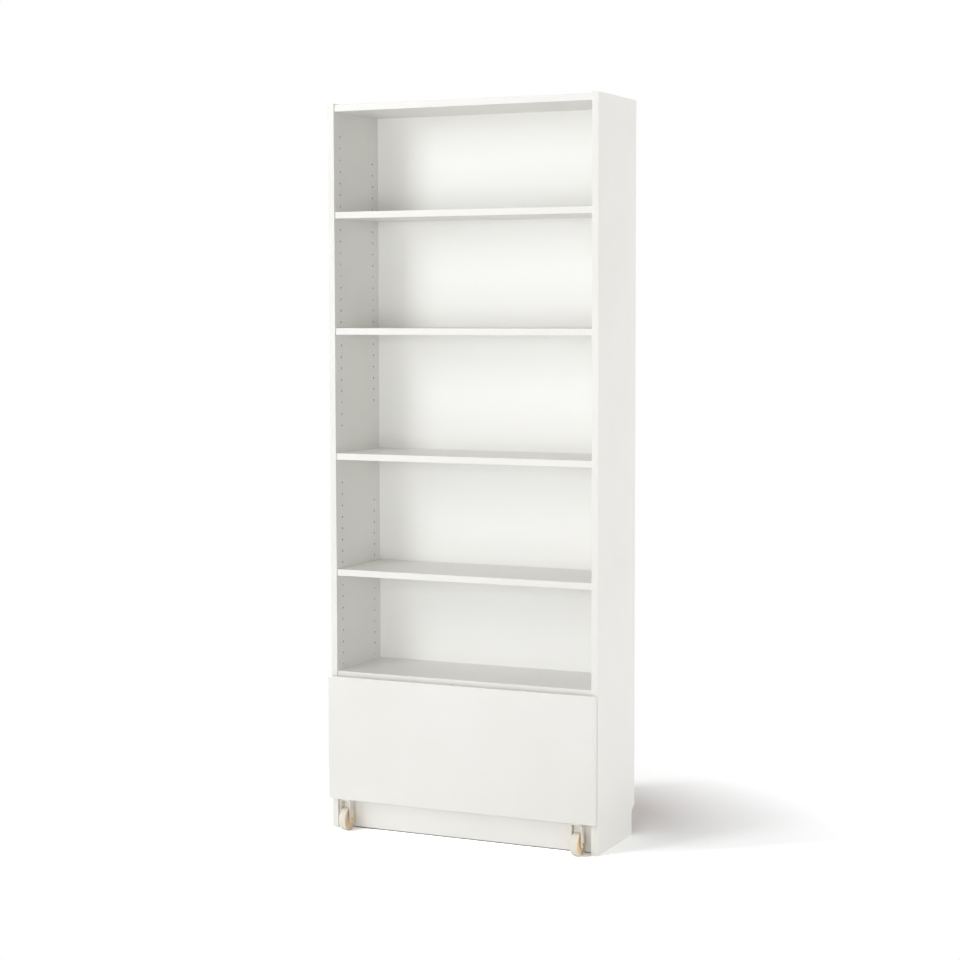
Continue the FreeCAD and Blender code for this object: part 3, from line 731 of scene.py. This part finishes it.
def camLock(length, size=caseDrum):
    # a cast drum with a raised rim, a sunk face and a driver's cross
    radius, reach, sides = size["radius"], size["reach"], camDrum["sides"]
    face = length - camDrum["sunk"]
    body, bodyAlong = rounded([
        (camDrum["core"], 0), (radius - camDrum["chamfer"], 0, .0003),
        (radius, camDrum["chamferLength"], .0003), (radius, face, .0003),
        (radius - camDrum["rimOuter"], length, .0002), (radius - camDrum["rimInner"], length, .0002),
        (radius - camDrum["faceEdge"], face, .0002), (reach * camDrum["lip"], face)])
    cross, crossAlong = crossRecess(face, reach, camDrum["crossDepth"], sides)
    return lathe(np.vstack([asRows(body, sides), cross]), np.concatenate([bodyAlong, crossAlong]), sides)


def drawerCamLock(length):
    return camLock(length, drawerDrum)


flutedDowel = dict(
    core=.0006, chamfer=.0009, chamferLength=.0014,
    plainEnds=.08,                          # this share of each half is left without flutes, at its end
    sides=64,
)
caseDowel = dict(radius=.004, flutes=16, flute=.00022)
drawerDowel = dict(radius=.003, flutes=12, flute=.0002)


def dowel(length, size=caseDowel):
    # chamfered ends, and flutes that run out on the chamfers
    radius, sides = size["radius"], flutedDowel["sides"]
    core, end = flutedDowel["core"], radius - flutedDowel["chamfer"]
    bevel = flutedDowel["chamferLength"]
    line, along = rounded([
        (core, 0), (end, 0, .0004), (radius, bevel, .0008), (radius, length - bevel, .0008),
        (end, length, .0004), (core, length)])
    fluted = 1 - abs(along - length / 2)[:, None] / (length / 2) > flutedDowel["plainEnds"]
    flutes = size["flute"] * (1 + np.cos(turns(sides) * size["flutes"])) / 2
    return lathe(asRows(line, sides) - fluted * flutes, along, sides)


def smallDowel(length):
    return dowel(length, drawerDowel)


domedPad = dict(
    radius=.004, lip=.0002,                 # lip is how far the lower edge is drawn in, and its height
    wall=.0007, dome=.0008,                 # the heights where the foot ends and the dome begins
    steps=12, sides=40,
)


def bumper(length):
    # a stuck-on dome: a quarter ellipse over a short upright foot
    radius, lip, dome = domedPad["radius"], domedPad["lip"], domedPad["dome"]
    lift = np.linspace(0, np.pi / 2, domedPad["steps"])[:-1]
    outline = np.concatenate([[radius - lip, radius, radius], radius * np.cos(lift)])
    along = np.concatenate([[0, lip, domedPad["wall"]], dome + (length - dome) * np.sin(lift)])
    return lathe(outline, along, domedPad["sides"])


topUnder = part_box("top_panel")[0].z


def inward(middle, axis):
    # to the middle of the bookcase
    return math.copysign(1, caseMiddle[axis] - middle[axis])


def outward(middle, axis):
    # away from it
    return -inward(middle, axis)


def camFace(middle, axis):
    # the top panel's cams are turned from above, and the others from below
    return 1 if middle[axis] > topUnder else -1


for row in ("upper", "second", "lower"):
    refit(f"shelf_pins_{row}", axisX, shelfPin, inward, zinc)
refit("back_nails", axisY, nail, outward, zinc)
refit("drawer_bottom_nails", axisZ, nail, outward, zinc)
refit("drawer_back_screws", axisX, sunkScrew, outward, zinc)
refit("caster_fork_screws", axisY, panScrew, inward, zinc)
refit("rear_roller_screws", axisX, panScrew, inward, zinc)
refit("roller_stop_screws", axisZ, panScrew, inward, zinc)
refit("case_cam_bolts", axisX, camBolt, inward, zinc)
refit("drawer_cam_bolts", axisY, camBolt, inward, zinc)
refit("case_cam_locks", axisZ, camLock, camFace, castZinc)
refit("drawer_cam_locks", axisX, drawerCamLock, inward, castZinc)
refit("case_dowels", axisX, dowel, inward, beechWood)
refit("plinth_dowels", axisX, dowel, inward, beechWood)
refit("drawer_dowels", axisY, smallDowel, inward, beechWood)
refit("front_buffers", axisY, bumper, inward, pad)
print("fasteners made")


stage = dict(
    reach=40.0, cells=4,            # half the floor's width, and its squares in each direction
    grey=.56, seenGrey=1.4,         # what the floor gives back as light, and what a camera sees of it
    fadeFrom=.55, fadeTo=1.0,       # past this the floor is as white as the sky
    gapSoft=.002, gapRearSoft=.02,  # how softly the painted shade under the plinth ends, and at its rear
    ambient=.385,                   # the sky's strength as light
)
white = (1, 1, 1)


def makeFloor():
    # a flat grid at z = 0, where a value in each direction runs from -reach to reach
    count = stage["cells"] + 1
    side = np.linspace(-1, 1, count) * stage["reach"]
    x, y = np.meshgrid(side, side)
    points = np.stack([x, y, 0 * x], -1).reshape(-1, 3)
    index = np.arange(count * count).reshape(count, count)
    faces = np.stack([index[:-1, :-1], index[:-1, 1:], index[1:, 1:], index[1:, :-1]], -1)
    mesh = bpy.data.meshes.new("floor")
    mesh.from_pydata(points.tolist(), [], faces.reshape(-1, 4).tolist())
    floor = bpy.data.objects.new("floor", mesh)
    scene.collection.objects.link(floor)
    mesh.materials.append(floorFinish().material)


def floorFinish():
    # plain grey paper as light; seen, it is brighter and fades into white away from the middle, but under
    # the plinth it keeps a painted shade
    finish = Finish("floorPaper")
    across, deep = finish.axes()[:2]
    low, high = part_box("plinth_board")
    # a mask under the plinth, where a shade is painted into the floor as seen
    shadeUnderPlinth = abs(across).under(high.x, stage["gapSoft"]) * deep.over(low.y, stage["gapSoft"])
    shadeUnderPlinth = shadeUnderPlinth * deep.under(high.y, stage["gapRearSoft"])
    # painted shade: under the plinth the paper is seen in its own plain grey, not brightened, so that the
    # gap there stays dark
    tone = shadeUnderPlinth * (stage["grey"] - stage["seenGrey"]) + stage["seenGrey"]
    plain = finish.node("ShaderNodeBsdfDiffuse", {}, {"Color": (stage["grey"],) * 3})
    seen = finish.node("ShaderNodeBsdfDiffuse", {}, {"Color": tone})
    glow = finish.node("ShaderNodeEmission", {}, {"Color": white, "Strength": 1})
    away = finish.node("ShaderNodeVectorMath", dict(operation="LENGTH"), {0: finish.place}, "Value")
    span = stage["fadeTo"] - stage["fadeFrom"]
    far = away.over(stage["fadeFrom"] + span / 2, span)
    faded = finish.node("ShaderNodeMixShader", {}, {0: far, 1: seen, 2: glow})
    finish.surface(finish.node("ShaderNodeMixShader", {}, {0: finish.seenRay(), 1: plain, 2: faded}))
    return finish


def makeSky():
    # white to the eye and in reflections, plain grey as light
    world = bpy.data.worlds.new("studio")
    world.use_nodes = True
    scene.world = world
    sky = Tree(world.node_tree)
    level = sky.seenRay() * (1 - stage["ambient"]) + stage["ambient"]
    light = sky.node("ShaderNodeBackground", {}, {"Color": white, "Strength": level})
    sky.node("ShaderNodeOutputWorld", {}, {"Surface": light})


# each lamp lights all, the object alone or the floor alone, so that the floor keeps one clear shadow
lamps = dict(
    low=dict(place=(-1.6, -4.4, 1.3), aim=(0, 0, 1.1), size=(1.3, 1.6), watts=19),
    high=dict(place=(-2.1, -3.7, 2.9), aim=(0, 0, 1.1), size=(1.3, 1.6), watts=43),
    front=dict(place=(.9, -5.0, 1.1), aim=(0, 0, 1.0), size=(2.0, 2.0), watts=67),
    right=dict(place=(4.2, .9, 1.4), aim=(.4, 0, 1.0), size=(2.0, 2.4), watts=89, on="object"),
    rear=dict(place=(-2.8, 4.0, 1.6), aim=(0, 0, 1.0), size=(2.0, 2.0), watts=120, on="object"),
    above=dict(place=(0, .2, 4.6), aim=(0, 0, 2.0), size=(2.0, 2.0), watts=26, on="object"),
    left=dict(place=(-4.9, -4.3, 3.5), aim=(.4, 0, 0), size=(.8, .8), watts=430, on="floor"),
)


def makeLamp(name, place, aim, size, watts, on="all"):
    lamp = bpy.data.lights.new(name, "AREA")
    lamp.shape = "RECTANGLE"
    lamp.size, lamp.size_y = size
    lamp.energy = watts
    holder = bpy.data.objects.new(name, lamp)
    holder.location = place
    holder.rotation_euler = (Vector(aim) - Vector(place)).to_track_quat("-Z", "Y").to_euler()
    scene.collection.objects.link(holder)
    if on != "all":
        receivers = bpy.data.collections.new(name + "Receivers")
        receivers.objects.link(bpy.data.objects["floor"])
        if on == "object":
            receivers.collection_objects[0].light_linking.link_state = "EXCLUDE"
        holder.light_linking.receiver_collection = receivers


view = dict(
    place=(2.4499, -5.3378, 1.4580), yaw=.4294, pitch=-.0710, roll=.0021,
    focus=2135.29, middle=460.0, frame=960.0,       # pixels
    sensor=36.0,                                    # millimetres
)


def makeCamera():
    camera = bpy.data.cameras.new("camera")
    camera.sensor_width = view["sensor"]
    camera.lens = view["focus"] / view["frame"] * view["sensor"]
    camera.shift_y = (view["middle"] - view["frame"] / 2) / view["frame"]
    holder = bpy.data.objects.new("camera", camera)
    holder.location = view["place"]
    holder.rotation_euler = (math.pi / 2 + view["pitch"], view["roll"], view["yaw"])
    scene.collection.objects.link(holder)
    scene.camera = holder


makeFloor()
makeSky()
for name, lamp in lamps.items():
    makeLamp(name, **lamp)
makeCamera()
scene.view_settings.view_transform = "Standard"
print("stage, light and camera set")
